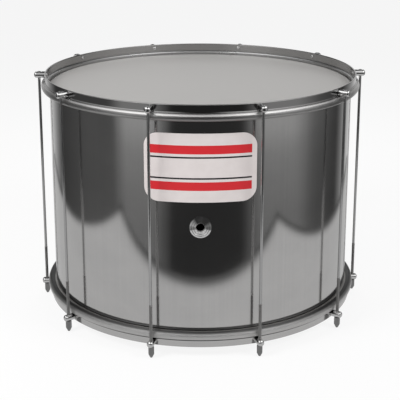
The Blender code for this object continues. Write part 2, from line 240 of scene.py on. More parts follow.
class Wire:
    """A number that runs through a material's nodes."""

    def __init__(self, finish, socket):
        self.finish, self.socket = finish, socket

    def maths(self, operation, first, second=None):
        inputs = {0: first} if second is None else {0: first, 1: second}
        return self.finish.add("ShaderNodeMath", {"operation": operation}, inputs)

    def __add__(self, other):
        return self.maths("ADD", self, other)

    def __radd__(self, other):
        return self.maths("ADD", other, self)

    def __sub__(self, other):
        return self.maths("SUBTRACT", self, other)

    def __rsub__(self, other):
        return self.maths("SUBTRACT", other, self)

    def __mul__(self, other):
        return self.maths("MULTIPLY", self, other)

    def __rmul__(self, other):
        return self.maths("MULTIPLY", other, self)

    def over(self, limit):
        """1 where the number is above a limit, and 0 below it."""
        return self.maths("GREATER_THAN", self, limit)

    def under(self, limit):
        """1 where the number is below a limit, and 0 above it."""
        return self.maths("LESS_THAN", self, limit)

    def size(self):
        """The number without its sign."""
        return self.maths("ABSOLUTE", self)


# %% A finish


class Finish:
    """A material that is being made."""

    def __init__(self, name):
        self.material = bpy.data.materials.new(name)
        self.material.use_nodes = True
        self.tree = self.material.node_tree
        self.shader = self.tree.nodes["Principled BSDF"]
        self.place = self.add("ShaderNodeTexCoord", output="Object")

    def plug(self, socket, value):
        if isinstance(value, Wire):
            self.tree.links.new(value.socket, socket)
        else:
            socket.default_value = value

    def add(self, kind, settings=None, inputs=None, output=0):
        """Add a node, set it, plug its inputs and return one of its outputs."""
        node = self.tree.nodes.new(kind)
        for key, value in (settings or {}).items():
            if key == "stops":
                self.set_stops(node.color_ramp, value)
            else:
                setattr(node, key, value)
        for key, value in (inputs or {}).items():
            self.plug(node.inputs[key], value)
        return Wire(self, node.outputs[output])

    def set_stops(self, ramp, stops):
        while len(ramp.elements) > 1:
            ramp.elements.remove(ramp.elements[-1])
        for index, (position, grey) in enumerate(stops):
            element = ramp.elements[0] if index == 0 else ramp.elements.new(position)
            element.position = position
            element.color = (grey, grey, grey, 1)

    def noise(self, scale, vector=None, detail=3, roughness=0.5):
        """Fractal noise, from about 0.3 to 0.7."""
        inputs = {"Vector": vector or self.place, "Scale": scale, "Detail": detail,
                  "Roughness": roughness}
        return self.add("ShaderNodeTexNoise", inputs=inputs)

    def stretched(self, x, y, z):
        """The place on the piece, with each direction stretched by its own factor."""
        settings = {"operation": "MULTIPLY"}
        return self.add("ShaderNodeVectorMath", settings, {0: self.place, 1: (x, y, z)})

    def axes(self):
        """The place's own x, y and z."""
        node = self.tree.nodes.new("ShaderNodeSeparateXYZ")
        self.plug(node.inputs[0], self.place)
        return [Wire(self, output) for output in node.outputs]

    def ramp(self, value, stops):
        """A grey that follows a value through a list of (position, grey) stops."""
        return self.add("ShaderNodeValToRGB", {"stops": stops}, {0: value})

    def mix(self, factor, first, second):
        """A colour between two colours."""
        settings = {"data_type": "RGBA"}
        node = self.add("ShaderNodeMix", settings, {0: factor}, output=2)
        self.plug(node.socket.node.inputs[6], first)
        self.plug(node.socket.node.inputs[7], second)
        return node

    def bump(self, height, strength, distance, under=None):
        """Relief from a height, on top of another relief."""
        inputs = {"Height": height, "Strength": strength, "Distance": distance}
        if under:
            inputs["Normal"] = under
        return self.add("ShaderNodeBump", inputs=inputs)

    def set(self, **values):
        """Set or link the shader's own sockets: base_color means Base Color."""
        for key, value in values.items():
            self.plug(self.shader.inputs[key.replace("_", " ").title()], value)
        return self.material


def grey(value, warmth=0.0):
    """A grey colour, a little warmer or cooler than neutral."""
    return (value * (1 + warmth), value, value * (1 - warmth), 1)


# %% [markdown]
# ## The finishes of the metal
#
# The shell is rolled sheet. Its roll marks run up and down, so its reflections break into
# upright streaks, and the polishing wheel went round it, which smears each reflection
# upwards and downwards. The first comes from a bump that changes only round the shell, the
# second from the shader's anisotropy. The hoops, lugs and vent are plated, sharper and
# brighter, and the rods are drawn steel with a duller rolled thread.

# %% Polished aluminium and plating


def polished_aluminium():
    finish = Finish("polished_aluminium")
    fine_streaks = finish.noise(1.0, finish.stretched(190, 190, 0.5), detail=3, roughness=0.6)
    broad_streaks = finish.noise(1.0, finish.stretched(32, 32, 0.4), detail=2)
    waves = finish.noise(1.0, finish.stretched(6, 6, 3.5), detail=2)
    grain = finish.noise(1.0, finish.stretched(40, 40, 1100), detail=2)
    smears = finish.noise(1.0, finish.stretched(9, 9, 14), detail=5, roughness=0.6)
    rolled = finish.bump(broad_streaks, 1.0, 0.10 * MM)
    fine = finish.bump(fine_streaks, 1.0, 0.006 * MM, rolled)
    waved = finish.bump(waves, 1.0, 0.4 * MM, fine)
    brushed = finish.bump(grain, 0.25, 0.02 * MM, waved)
    bright = fine_streaks * 0.3 + smears * 0.7
    spread = finish.ramp(bright, [(0.36, 0.0), (0.64, 1.0)])
    tone = finish.mix(spread, grey(0.575, 0.008), grey(0.625, 0.012))
    return finish.set(base_color=tone, metallic=1.0, roughness=0.07 + smears * 0.06,
                      anisotropic=0.8, normal=brushed)


def plated(name, brightness, roughness, scratches):
    """Bright plating with a faint haze and fine scratches."""
    finish = Finish(name)
    haze = finish.noise(18, detail=4)
    fine = finish.noise(1.0, finish.stretched(240, 240, 900), detail=2)
    tone = finish.mix(haze, grey(brightness * 0.9), grey(brightness * 1.05, 0.006))
    return finish.set(base_color=tone, metallic=1.0,
                      roughness=roughness * 0.6 + haze * roughness * 0.8,
                      normal=finish.bump(fine, scratches, 0.05 * MM))


# %% Rod steel
THREAD_LENGTH = 98 * MM


def rod_steel():
    """Drawn steel, with a dull thread on its lower stretch."""
    finish = Finish("rod_steel")
    height = finish.axes()[2]
    shank = height.over(ROD_LOW + THREAD_LENGTH)
    haze = finish.noise(40, detail=3)
    tone = finish.mix(shank, grey(0.38, 0.012), grey(0.5))
    drawn = finish.noise(1.0, finish.stretched(900, 900, 20), detail=2)
    return finish.set(base_color=tone, metallic=1.0, roughness=0.42 - shank * 0.26 + haze * 0.08,
                      normal=finish.bump(drawn, 0.1, 0.03 * MM))


# %% [markdown]
# ## The shell
#
# A sheet of aluminium rolled into a cylinder, with both edges rolled over so that the film
# bends round a bead and not over a knife edge. The wall and both rolls are one section,
# turned in fine steps, because a mirror shows every facet. A round cutter then opens the
# hole for the vent.

# %% Turn the shell
SHELL_WALL = 1.5 * MM
EDGE_ROLL = 3.2 * MM
RING_STEPS = 240
VENT_HOLE_RADIUS = 11.1 * MM


def shell_section():
    centre = SHELL_RADIUS - EDGE_ROLL
    inner = EDGE_ROLL - SHELL_WALL
    top, bottom = SHELL_HIGH - EDGE_ROLL, SHELL_LOW + EDGE_ROLL
    points = arc((centre, top), (EDGE_ROLL, EDGE_ROLL), 180, 0, 13)
    points += [(SHELL_RADIUS, top - HOLD), (SHELL_RADIUS, bottom + HOLD)]
    points += arc((centre, bottom), (EDGE_ROLL, EDGE_ROLL), 0, -180, 13)
    points += arc((centre, bottom), (inner, inner), -180, 0, 7)
    points += [(centre + inner, bottom + HOLD), (centre + inner, top - HOLD)]
    points += arc((centre, top), (inner, inner), 0, 180, 7)
    return points


shell = turn("rolled_shell", shell_section(), RING_STEPS)
hole_reach = 20 * MM
hole = turn("vent_hole", [(0, hole_reach), (VENT_HOLE_RADIUS, hole_reach),
                          (VENT_HOLE_RADIUS, -hole_reach), (0, -hole_reach)], 64, ring=False)
settle(hole, Matrix.Translation((0, -SHELL_RADIUS, VENT_Z)) @ Matrix.Rotation(math.pi / 2, 4, "X"))
boolean(shell, hole, "DIFFERENCE")
smooth(shell)
finish_piece(shell, "drum", "shell", polished_aluminium(), "shell")
print("the shell has", len(shell.data.polygons), "faces")

# %% [markdown]
# ## Heads and flesh hoops
#
# The head is a thin milky film. It lies flat across the shell, bends over the rolled edge and
# runs out into a slot in the flesh hoop, which grips it. The film is semi-matt, scatters light
# inside and shows faint clouds, so its finish has a soft pattern and a little ripple. The real
# drum shows a nearly black gap, in shadow, between the shell and the lower hoop. The lower
# flesh hoop's finish is painted shade: nearly black, it stands for that shadowed gap, and
# doesn't say what the real ring is made of.

# %% Turn the heads
FILM_THICKNESS = 0.5 * MM
SEAT_GAP = 0.3 * MM
FLESH_ROUNDING = 3.6 * MM
SLOT_DEPTH = 3.2 * MM
SLOT_HALF = 0.55 * MM


def film_section():
    flat_end = SHELL_RADIUS - EDGE_ROLL
    under, over = EDGE_ROLL + SEAT_GAP, EDGE_ROLL + SEAT_GAP + FILM_THICKNESS
    slot_end = FLESH_INNER + SLOT_DEPTH - SEAT_GAP
    under_side = FILM_HIGH - FILM_THICKNESS
    return ([(0, FILM_HIGH), (flat_end / 2, FILM_HIGH), (flat_end - HOLD, FILM_HIGH)]
            + arc((flat_end, -EDGE_ROLL), (over, over), 90, 0, 9)
            + [(slot_end, FILM_LOW + FILM_THICKNESS), (slot_end, FILM_LOW)]
            + arc((flat_end, -EDGE_ROLL), (under, under), 0, 90, 9)
            + [(flat_end - HOLD, under_side), (flat_end / 2, under_side), (0, under_side)])


def flesh_section():
    """A rounded bar with a slot near the foot of its inner side."""
    round_ = FLESH_ROUNDING
    left, right = FLESH_INNER + round_, FLESH_OUTER - round_
    middle = FILM_LOW + FILM_THICKNESS / 2
    return (arc((left, FLESH_HIGH - round_), (round_, round_), 180, 90, 6)
            + arc((right, FLESH_HIGH - round_), (round_, round_), 90, 0, 6)
            + [(FLESH_OUTER, FLESH_HIGH - round_ - HOLD), (FLESH_OUTER, FLESH_LOW + round_ + HOLD)]
            + arc((right, FLESH_LOW + round_), (round_, round_), 0, -90, 6)
            + [(FLESH_INNER, FLESH_LOW), (FLESH_INNER, middle - SLOT_HALF),
               (FLESH_INNER + SLOT_DEPTH, middle - SLOT_HALF),
               (FLESH_INNER + SLOT_DEPTH, middle + SLOT_HALF), (FLESH_INNER, middle + SLOT_HALF)])


def milky_film():
    finish = Finish("milky_film")
    clouds = finish.noise(5, detail=5, roughness=0.6)
    ripple = finish.noise(1.0, finish.stretched(3, 3, 3), detail=1)
    grain = finish.noise(900, detail=2)
    tone = finish.mix(clouds, (0.355, 0.348, 0.338, 1), (0.415, 0.405, 0.395, 1))
    soft = finish.bump(ripple, 0.2, 1.5 * MM)
    fine = finish.bump(grain, 0.08, 0.05 * MM, soft)
    return finish.set(base_color=tone, roughness=0.3 + clouds * 0.16, normal=fine)


film_finish = milky_film()
# Painted shade: the lower flesh hoop is nearly black to stand for the shadowed gap under the shell.
flesh_finish = {"top": plated("flesh_hoop_aluminium", 0.55, 0.3, 0.15),
                "bottom": plated("flesh_hoop_painted_shade", 0.10, 0.4, 0.15)}
film = smooth(turn("film", film_section(), RING_STEPS, ring=False))
flesh = smooth(turn("flesh", flesh_section(), RING_STEPS))
for end in ("top", "bottom"):
    piece = copy_piece(film, f"{end}_film", end_matrix(end))
    finish_piece(piece, "drum", "film", film_finish, f"{end}_head")
    piece = copy_piece(flesh, f"{end}_flesh_ring", end_matrix(end))
    finish_piece(piece, "drum", "flesh_hoop", flesh_finish[end], f"{end}_flesh_hoop")
for pattern in (film, flesh):
    bpy.data.objects.remove(pattern, do_unlink=True)
print("two heads and two flesh hoops")

# %% [markdown]
# ## Counterhoops
#
# Each counterhoop is a strip of steel rolled into a ring and then beaded: the upright band
# stands clear of the head, and the bead below it swells out over the flesh hoop and presses
# it down. The section is a pair of elliptical arcs joined to a band with a rounded rim. The
# plating is polished on the band and satin on the bead. Below the bead and in the crease
# above it the real hoop shows dark lines, from shadow and from what it mirrors. The scene
# gives only part of them, so the finish is also darkened there, by height on the hoop.

# %% Turn the counterhoops
HOOP_SHEET = 2.6 * MM
BEAD_WIDTH = 6.0 * MM
BEAD_HALF = 7.7 * MM
BEAD_WALL = 1.2 * MM
BEAD_LEAN = 75


def counterhoop_section():
    band_outer = BAND_INNER + HOOP_SHEET
    rim = HOOP_SHEET / 2
    centre = (BEAD_OUTER - BEAD_WIDTH, FLESH_HIGH + SEAT_GAP + BEAD_WALL - BEAD_HALF)
    inner = (BEAD_WIDTH - HOOP_SHEET, BEAD_HALF - BEAD_WALL)
    shoulder = centre[1] + BEAD_HALF + BEAD_WALL
    return (arc((BAND_INNER + rim, HOOP_HIGH - rim), (rim, rim), 180, 0, 9)
            + [(band_outer, HOOP_HIGH - rim - HOLD), (band_outer, shoulder + HOLD),
               (band_outer, shoulder)]
            + arc(centre, (BEAD_WIDTH, BEAD_HALF), 86, -BEAD_LEAN, 18)
            + arc(centre, inner, -BEAD_LEAN, 90, 14)
            + [(BAND_INNER, centre[1] + inner[1]), (BAND_INNER, HOOP_HIGH - rim - HOLD)])


# %% Plate the counterhoops
CREASE = FLESH_HIGH + SEAT_GAP + 2.0 * MM
# Painted shade: how much of the plating's brightness is kept, by height beyond the shell's end
HOOP_PAINTED_SHADE = {
    "top": [(-4.5 * MM, 0.45), (-1 * MM, 0.85), (3 * MM, 1.0), (CREASE - 2.2 * MM, 1.0),
            (CREASE - 0.8 * MM, 0.5), (CREASE, 0.62)],
    "bottom": [(-6 * MM, 0.3), (-3.5 * MM, 0.6), (-1 * MM, 1.0), (CREASE - 3.2 * MM, 1.0),
               (CREASE - 2.3 * MM, 0.02), (CREASE + 0.8 * MM, 0.02), (CREASE + 1.4 * MM, 1.0)]}
BEAD_SATIN = {"top": 0.22, "bottom": 0.36}
SATIN_FADE = 2.4 * MM


def hoop_plating(end):
    """A polished band and a satin bead, with painted shade by height where the real hoop looks dark."""
    finish = Finish(f"{end}_hoop_plating")
    height = finish.axes()[2]
    beyond = (height - (SHELL_HIGH + SHELL_LOW) / 2).size() - (SHELL_HIGH - SHELL_LOW) / 2
    share = (beyond - HOOP_LOW) * (1 / (HOOP_HIGH - HOOP_LOW))

    def by_height(stops):
        return finish.ramp(share, [((place - HOOP_LOW) / (HOOP_HIGH - HOOP_LOW), level)
                                   for place, level in stops])

    satin = by_height([(CREASE - SATIN_FADE, 1.0), (CREASE, 0.0)])
    shade = by_height(HOOP_PAINTED_SHADE[end])
    haze = finish.noise(18, detail=4)
    fine = finish.noise(1.0, finish.stretched(240, 240, 900), detail=2)
    metal = finish.mix(haze, grey(0.58, 0.008), grey(0.66, 0.012))
    return finish.set(base_color=finish.mix(shade, grey(0.0), metal), metallic=1.0,
                      roughness=0.10 + haze * 0.06 + satin * BEAD_SATIN[end],
                      normal=finish.bump(fine, 0.08, 0.05 * MM))


hoop = smooth(turn("hoop", counterhoop_section(), RING_STEPS))
for end in ("top", "bottom"):
    piece = copy_piece(hoop, f"{end}_hoop", end_matrix(end))
    finish_piece(piece, "drum", "counterhoop", hoop_plating(end), f"{end}_counterhoop")
bpy.data.objects.remove(hoop, do_unlink=True)
print("two counterhoops")

# %% [markdown]
# ## Lugs
#
# A lug is a short round bar that points straight out from the hoop. It was turned with a
# domed end and a thin tail, and the tail was pushed through the band and hammered over. A
# hole for the rod crosses it, with a countersink and a flat seat on the side that bears the
# load.

# %% Turn and drill the lugs
LUG_RADIUS = 6.5 * MM
LUG_OVERHANG = 10 * MM
LUG_DOME = 4.6 * MM
LUG_EDGE = 0.5 * MM
LUG_SEAT = 5.9 * MM
RIVET_RADIUS = 2.5 * MM
RIVET_HEAD_RADIUS = 3.8 * MM
RIVET_HEAD_HEIGHT = 1.6 * MM
ROD_HOLE_RADIUS = 3.3 * MM
COUNTERSINK_RADIUS = 4.4 * MM
COUNTERSINK_DEPTH = 1.8 * MM
SPOT_FACE_RADIUS = 6.1 * MM


def lug_section():
    root = BAND_INNER + HOOP_SHEET + SEAT_GAP - ROD_CIRCLE
    tail = BAND_INNER - SEAT_GAP - ROD_CIRCLE
    return (arc((0, LUG_OVERHANG - LUG_DOME), (LUG_RADIUS, LUG_DOME), 90, 0, 10)
            + [(LUG_RADIUS, LUG_OVERHANG - LUG_DOME - HOLD), (LUG_RADIUS, root + LUG_EDGE + HOLD),
               (LUG_RADIUS, root + LUG_EDGE), (LUG_RADIUS - LUG_EDGE, root), (RIVET_RADIUS, root),
               (RIVET_RADIUS, tail)]
            + arc((0, tail), (RIVET_HEAD_RADIUS, RIVET_HEAD_HEIGHT), 0, -90, 7))


lug = turn("lug", lug_section(), 40, ring=False)
settle(lug, Matrix.Rotation(math.pi / 2, 4, "Y"))
drill_reach = 2 * LUG_RADIUS
drill = turn("drill", [(0, drill_reach), (SPOT_FACE_RADIUS, drill_reach), (SPOT_FACE_RADIUS, LUG_SEAT),
                       (COUNTERSINK_RADIUS, LUG_SEAT),
                       (ROD_HOLE_RADIUS, LUG_SEAT - COUNTERSINK_DEPTH),
                       (ROD_HOLE_RADIUS, -drill_reach), (0, -drill_reach)], 32, ring=False)
boolean(lug, drill, "DIFFERENCE")
smooth(lug)
lug_finish = plated("lug_chrome", 0.68, 0.1, 0.12)
for name in ROD_NAMES:
    angle = rod_angle(name)
    face_out = Matrix.Rotation(angle, 4, "Z") @ Matrix.Translation((ROD_CIRCLE, 0, 0))
    upper = Matrix.Translation((0, 0, UPPER_LUG_Z)) @ face_out
    lower = Matrix.Translation((0, 0, LOWER_LUG_Z)) @ face_out @ Matrix.Rotation(math.pi, 4, "X")
    finish_piece(copy_piece(lug, f"upper_bar_{name}", upper), "drum", "lug", lug_finish,
                 f"upper_lug_{name}")
    finish_piece(copy_piece(lug, f"lower_bar_{name}", lower), "drum", "lug", lug_finish,
                 f"lower_lug_{name}")
bpy.data.objects.remove(lug, do_unlink=True)
print("twenty lugs")

# %% [markdown]
# ## Tension rods
#
# The thread is a real helix. A V-shaped tooth is drawn once, the Screw modifier winds it up
# the rod, and its two ends sink into the core, as a rolled thread runs out. The core, the
# plain shank and the countersunk head are turned in one piece, and a union joins the two.

# %% Turn the rods and wind their threads
PITCH = 1.0 * MM
THREAD_RADIUS = 3.0 * MM
THREAD_ROOT = 2.4 * MM
CORE_RADIUS = 2.46 * MM
SHANK_RADIUS = 2.7 * MM
ROD_HEAD_RADIUS = 4.1 * MM
ROD_HEAD_CONE = 1.8 * MM
ROD_HEAD_DOME = 1.5 * MM
THREAD_RUN_OUT = 1.5 * PITCH
ROD_STEPS = 20


def rod_section():
    seat = ROD_HIGH - ROD_HEAD_DOME
    thread_top = ROD_LOW + THREAD_LENGTH
    return (arc((0, seat), (ROD_HEAD_RADIUS, ROD_HEAD_DOME), 90, 0, 7)
            + [(SHANK_RADIUS, seat - ROD_HEAD_CONE), (SHANK_RADIUS, thread_top),
               (CORE_RADIUS, thread_top - PITCH / 2), (CORE_RADIUS, ROD_LOW + PITCH / 2),
               (CORE_RADIUS - PITCH / 2, ROD_LOW), (0, ROD_LOW)])


def wind_thread():
    """One tooth wound up the rod, with its ends faded into the core."""
    crest = PITCH / 10
    tooth = [(THREAD_ROOT, 0), (THREAD_RADIUS, PITCH / 2 - crest), (THREAD_RADIUS, PITCH / 2 + crest),
             (THREAD_ROOT, PITCH)]
    thread = draw_section("thread", tooth)
    bpy.ops.object.mode_set(mode="OBJECT")
    winding = thread.modifiers.new("Wind", "SCREW")
    winding.steps = winding.render_steps = ROD_STEPS
    winding.screw_offset = PITCH
    winding.iterations = round(THREAD_LENGTH / PITCH) - 2
    winding.use_merge_vertices = False
    bpy.ops.object.modifier_apply(modifier=winding.name)
    bpy.ops.object.mode_set(mode="EDIT")
    bpy.ops.mesh.select_all(action="SELECT")
    bpy.ops.mesh.remove_doubles(threshold=WELD)
    bpy.ops.mesh.select_all(action="DESELECT")
    bpy.ops.mesh.select_mode(type="EDGE")
    bpy.ops.mesh.select_non_manifold(extend=False)
    bpy.ops.mesh.edge_face_add()
    bpy.ops.mesh.select_all(action="SELECT")
    bpy.ops.mesh.normals_make_consistent(inside=False)
    bpy.ops.object.mode_set(mode="OBJECT")
    top = max(point.co.z for point in thread.data.vertices)
    for point in thread.data.vertices:
        radius = point.co.xy.length
        fade = min(1, point.co.z / THREAD_RUN_OUT, (top - point.co.z) / THREAD_RUN_OUT)
        wanted = THREAD_ROOT + (radius - THREAD_ROOT) * fade
        point.co.xy *= wanted / radius
    return settle(thread, Matrix.Translation((0, 0, ROD_LOW + PITCH)))


rod = turn("rod", rod_section(), ROD_STEPS, ring=False)
thread = wind_thread()
boolean(rod, thread, "UNION")
smooth(rod)
rod_finish = rod_steel()
for name in ROD_NAMES:
    place = Matrix.Rotation(rod_angle(name), 4, "Z") @ Matrix.Translation((ROD_CIRCLE, 0, 0))
    finish_piece(copy_piece(rod, f"threaded_rod_{name}", place), "drum", "rod", rod_finish,
                 f"tension_rod_{name}")
print("ten rods of", len(rod.data.polygons), "faces")
bpy.data.objects.remove(rod, do_unlink=True)

# %% [markdown]
# ## Tuning nuts
#
# The nuts are long hexagons, bored from above and cut to a blunt cone below. The hexagon is a
# six-sided cylinder. A turned blank, intersected with it, gives both the chamfer on its
# corners and the cone, which meets the flats in the curved edges of a real nut.

# %% Cut the nuts
NUT_ACROSS_FLATS = 10 * MM
NUT_TIP_LENGTH = 7.5 * MM
NUT_TIP_RADIUS = 1.9 * MM
NUT_CHAMFER = 0.8 * MM
NUT_BORE_DEPTH = 14.5 * MM
NUT_SMOOTH = math.radians(25)
nut_corner = NUT_ACROSS_FLATS / 2 / math.cos(math.pi / 6)


def nut_blank_section():
    wide = nut_corner + SEAT_GAP
    flare = (wide - NUT_TIP_RADIUS) / (nut_corner - NUT_TIP_RADIUS)
    bore_end = NUT_HIGH - NUT_BORE_DEPTH
    return [(0, bore_end), (ROD_HOLE_RADIUS, bore_end), (ROD_HOLE_RADIUS, NUT_HIGH - SEAT_GAP),
            (ROD_HOLE_RADIUS + SEAT_GAP, NUT_HIGH), (wide - 2 * NUT_CHAMFER, NUT_HIGH),
            (wide, NUT_HIGH - NUT_CHAMFER), (wide, NUT_TIP_LENGTH * flare),
            (NUT_TIP_RADIUS + SEAT_GAP, SEAT_GAP), (NUT_TIP_RADIUS, 0), (0, 0)]


nut = turn("nut", nut_blank_section(), 48, ring=False)
bpy.ops.object.select_all(action="DESELECT")
bpy.ops.mesh.primitive_cylinder_add(vertices=6, radius=nut_corner, depth=2 * NUT_HIGH,
                                    location=(0, 0, NUT_HIGH / 2))
hexagon = bpy.context.object
bpy.ops.object.transform_apply(location=True, rotation=True, scale=True)
boolean(nut, hexagon, "INTERSECT")
smooth(nut, NUT_SMOOTH)
nut_finish = plated("nut_plating", 0.26, 0.32, 0.3)
for name in ROD_NAMES:
    place = Matrix.Rotation(rod_angle(name), 4, "Z") @ Matrix.Translation((ROD_CIRCLE, 0, 0))
    finish_piece(copy_piece(nut, f"hex_nut_{name}", place), f"nut_{name}", "nut", nut_finish,
                 f"tuning_nut_{name}")
bpy.data.objects.remove(nut, do_unlink=True)
print("ten tuning nuts")

# %% [markdown]
# ## The vent
#
# Three rings step down outwards round the bore, and a barrel passes through the shell to the
# lock ring inside. Each ring is a shallow cone with sharp edges and a groove round it, so its
# upper half mirrors the room and its lower half the table. The inside of the barrel is matt
# grey. The bore still looks dark, because the dark inside of the drum lies behind it.

# %% Turn the vent
VENT_BORE_RADIUS = 8.6 * MM
VENT_BARREL = 10.8 * MM
VENT_CROWN = 3.2 * MM
VENT_STEP = 0.55 * MM
VENT_GROOVE = 0.6 * MM
VENT_TILT = math.radians(20)
VENT_RINGS = 3
LOCK_EDGE = 0.7 * MM
vent_depth = vent_high.y + SHELL_RADIUS + SEAT_GAP
lock_low, lock_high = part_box("vent_lock_ring")
lock_radius = (lock_high.x - lock_low.x) / 2


def vent_section():
    """Three cones, each a step lower than the one inside it, with a groove between them."""
    ring_width = (VENT_RADIUS - VENT_BORE_RADIUS) / VENT_RINGS
    drop = (ring_width - VENT_GROOVE) * math.tan(VENT_TILT)
    points = []
    for ring in range(VENT_RINGS):
        start = VENT_BORE_RADIUS + ring * ring_width
        crown = VENT_CROWN - ring * VENT_STEP
        end = start + ring_width - VENT_GROOVE
        points += [(start, crown), (end, crown - drop), (end, crown - drop - VENT_GROOVE / 2),
                   (start + ring_width, crown - drop - VENT_GROOVE / 2)]
    return points + [(VENT_RADIUS, 0), (VENT_BARREL, 0), (VENT_BARREL, -vent_depth),
                     (VENT_BORE_RADIUS, -vent_depth)]


def vent_chrome():
    """Bright plating outside, and a matt grey inside the bore."""
    finish = Finish("vent_chrome")
    flat = finish.add("ShaderNodeVectorMath", {"operation": "MULTIPLY_ADD"},
                      {0: finish.place, 1: (1, 0, 1), 2: (0, 0, -VENT_Z)})
    from_axis = finish.add("ShaderNodeVectorMath", {"operation": "LENGTH"}, {0: flat}, output=1)
    bore = 1 - from_axis.over(VENT_BORE_RADIUS + 0.1 * MM)
    haze = finish.noise(18, detail=4)
    metal = finish.mix(haze, grey(0.72), grey(0.82, 0.006))
    return finish.set(base_color=finish.mix(bore, metal, grey(0.5, 0.01)), metallic=1.0 - bore * 0.95,
                      roughness=0.05 + haze * 0.06 + bore * 0.4)


face_front = Matrix.Rotation(math.pi / 2, 4, "X")
out_of_front = Matrix.Translation((0, -SHELL_RADIUS - SEAT_GAP, VENT_Z)) @ face_front
vent = smooth(turn("vent_rings", vent_section(), 96))
settle(vent, out_of_front)
finish_piece(vent, "drum", "vent", vent_chrome(), "vent_flange")
lock_face = -(lock_low.y + SHELL_RADIUS + SEAT_GAP)
lock_back = -(lock_high.y + SHELL_RADIUS + SEAT_GAP)
lock_section = [(lock_radius, lock_face), (lock_radius, lock_back + LOCK_EDGE),
                (lock_radius - LOCK_EDGE, lock_back), (VENT_HOLE_RADIUS, lock_back),
                (VENT_HOLE_RADIUS, lock_face)]
lock_ring = smooth(turn("lock_ring", lock_section, 64))
settle(lock_ring, out_of_front)
finish_piece(lock_ring, "drum", "lock_ring", plated("lock_ring_steel", 0.5, 0.3, 0.3), "vent_lock_ring")
print("the vent and its lock ring")

# %% [markdown]
# ## A plain sticker
#
# A printed vinyl sticker sits above the vent. Here it is a generic one with no words: a white
# rounded rectangle with two red bars and two thin black lines. It is cut from a thin ring
# with a rounded block, so that it follows the shell exactly.

# %% Cut the sticker
STICKER_WIDTH = 203 * MM
STICKER_HEIGHT = 128 * MM
STICKER_Z = 364 * MM
STICKER_THICKNESS = 0.2 * MM
STICKER_CORNER = 26 * MM
STICKER_MARGIN = 9 * MM
# Lowest and highest place of the upper bar and line, from the sticker's middle
BAR_FROM, BAR_TO = 26 * MM, 42 * MM
LINE_FROM, LINE_TO = 18 * MM, 21 * MM


def vinyl():
    """White vinyl with printed bars, placed by height."""
    finish = Finish("sticker_vinyl")
    across, _, up = finish.axes()
    height = (up - STICKER_Z).size()
    inside = across.size().under(STICKER_WIDTH / 2 - STICKER_MARGIN)
    bar = height.over(BAR_FROM) * height.under(BAR_TO) * inside
    line = height.over(LINE_FROM) * height.under(LINE_TO) * inside
    mottle = finish.noise(60, detail=3)
    white = finish.mix(mottle, (0.64, 0.585, 0.575, 1), (0.72, 0.67, 0.66, 1))
    printed = finish.mix(bar, white, (0.62, 0.012, 0.02, 1))
    return finish.set(base_color=finish.mix(line, printed, (0.012, 0.012, 0.013, 1)),
                      roughness=0.32 + mottle * 0.1, normal=finish.bump(mottle, 0.1, 0.1 * MM))


sticker_inner = SHELL_RADIUS + 0.02 * MM
sticker_outer = sticker_inner + STICKER_THICKNESS
sticker_half = 0.6 * STICKER_HEIGHT
sticker_high, sticker_low = STICKER_Z + sticker_half, STICKER_Z - sticker_half
sticker = turn("sticker", [(sticker_outer, sticker_high), (sticker_outer, sticker_low),
                           (sticker_inner, sticker_low), (sticker_inner, sticker_high)], RING_STEPS)
bpy.ops.object.select_all(action="DESELECT")
bpy.ops.mesh.primitive_cube_add(size=1, location=(0, -SHELL_RADIUS, STICKER_Z))
block = bpy.context.object
bpy.ops.transform.resize(value=(STICKER_WIDTH, SHELL_RADIUS / 3, STICKER_HEIGHT))
bpy.ops.object.transform_apply(location=True, rotation=True, scale=True)
bpy.ops.object.mode_set(mode="EDIT")
bpy.ops.mesh.select_mode(type="EDGE")
bpy.ops.mesh.select_all(action="DESELECT")
cage = bmesh.from_edit_mesh(block.data)
for side_edge in cage.edges:
    along = side_edge.verts[0].co - side_edge.verts[1].co
    side_edge.select_set(abs(along.y) > max(abs(along.x), abs(along.z)))
bmesh.update_edit_mesh(block.data)
bpy.ops.mesh.bevel(offset=STICKER_CORNER, segments=12, affect="EDGES")
bpy.ops.object.mode_set(mode="OBJECT")
boolean(sticker, block, "INTERSECT")
smooth(sticker)
finish_piece(sticker, "drum", "shell", vinyl())
print("a sticker of", len(sticker.data.polygons), "faces")

# %% [markdown]
# ## The studio
#
# A mirror shows its surroundings, so for this shell the room matters more than the lamps.
# The camera sees a white floor, which keeps a faint shadow of the drum, and a white world.
# The metal doesn't see those two, or it would be white all over. A studio with black cloth
# and a few white screens gives polished metal its dark and light zones, and the same is
# built here for the metal alone: an evenly lit table, whose front edge shows as a wide
# curve, a dark room with a pale screen on either side and another behind the drum, and a
# light tent above. The levels of the table and the wall are plain round numbers. Those of
# the tent were tried until the beads and the lugs shone as they should.

# %% Measures and levels of the studio
TABLE_LEFT, TABLE_RIGHT = -0.85, 0.78
TABLE_FRONT, TABLE_BACK = -0.635, 0.95
TABLE_LEVEL, TABLE_DIM = 0.5, 0.07
EDGE_HALF = 0.05
EDGE_FADE = [(0.5 - EDGE_HALF, 1.0), (0.48, 0.86), (0.50, 0.48), (0.52, 0.14), (0.5 + EDGE_HALF, 0.0)]
ROOM_RADIUS = 4.0
ROOM_LOW, ROOM_HIGH = -1.8, 3.2
ROOM_STEPS = 96
GROUND_LEVEL = 0.03
FLOOR_SIZE, FLOOR_PAINT = 14, 0.14
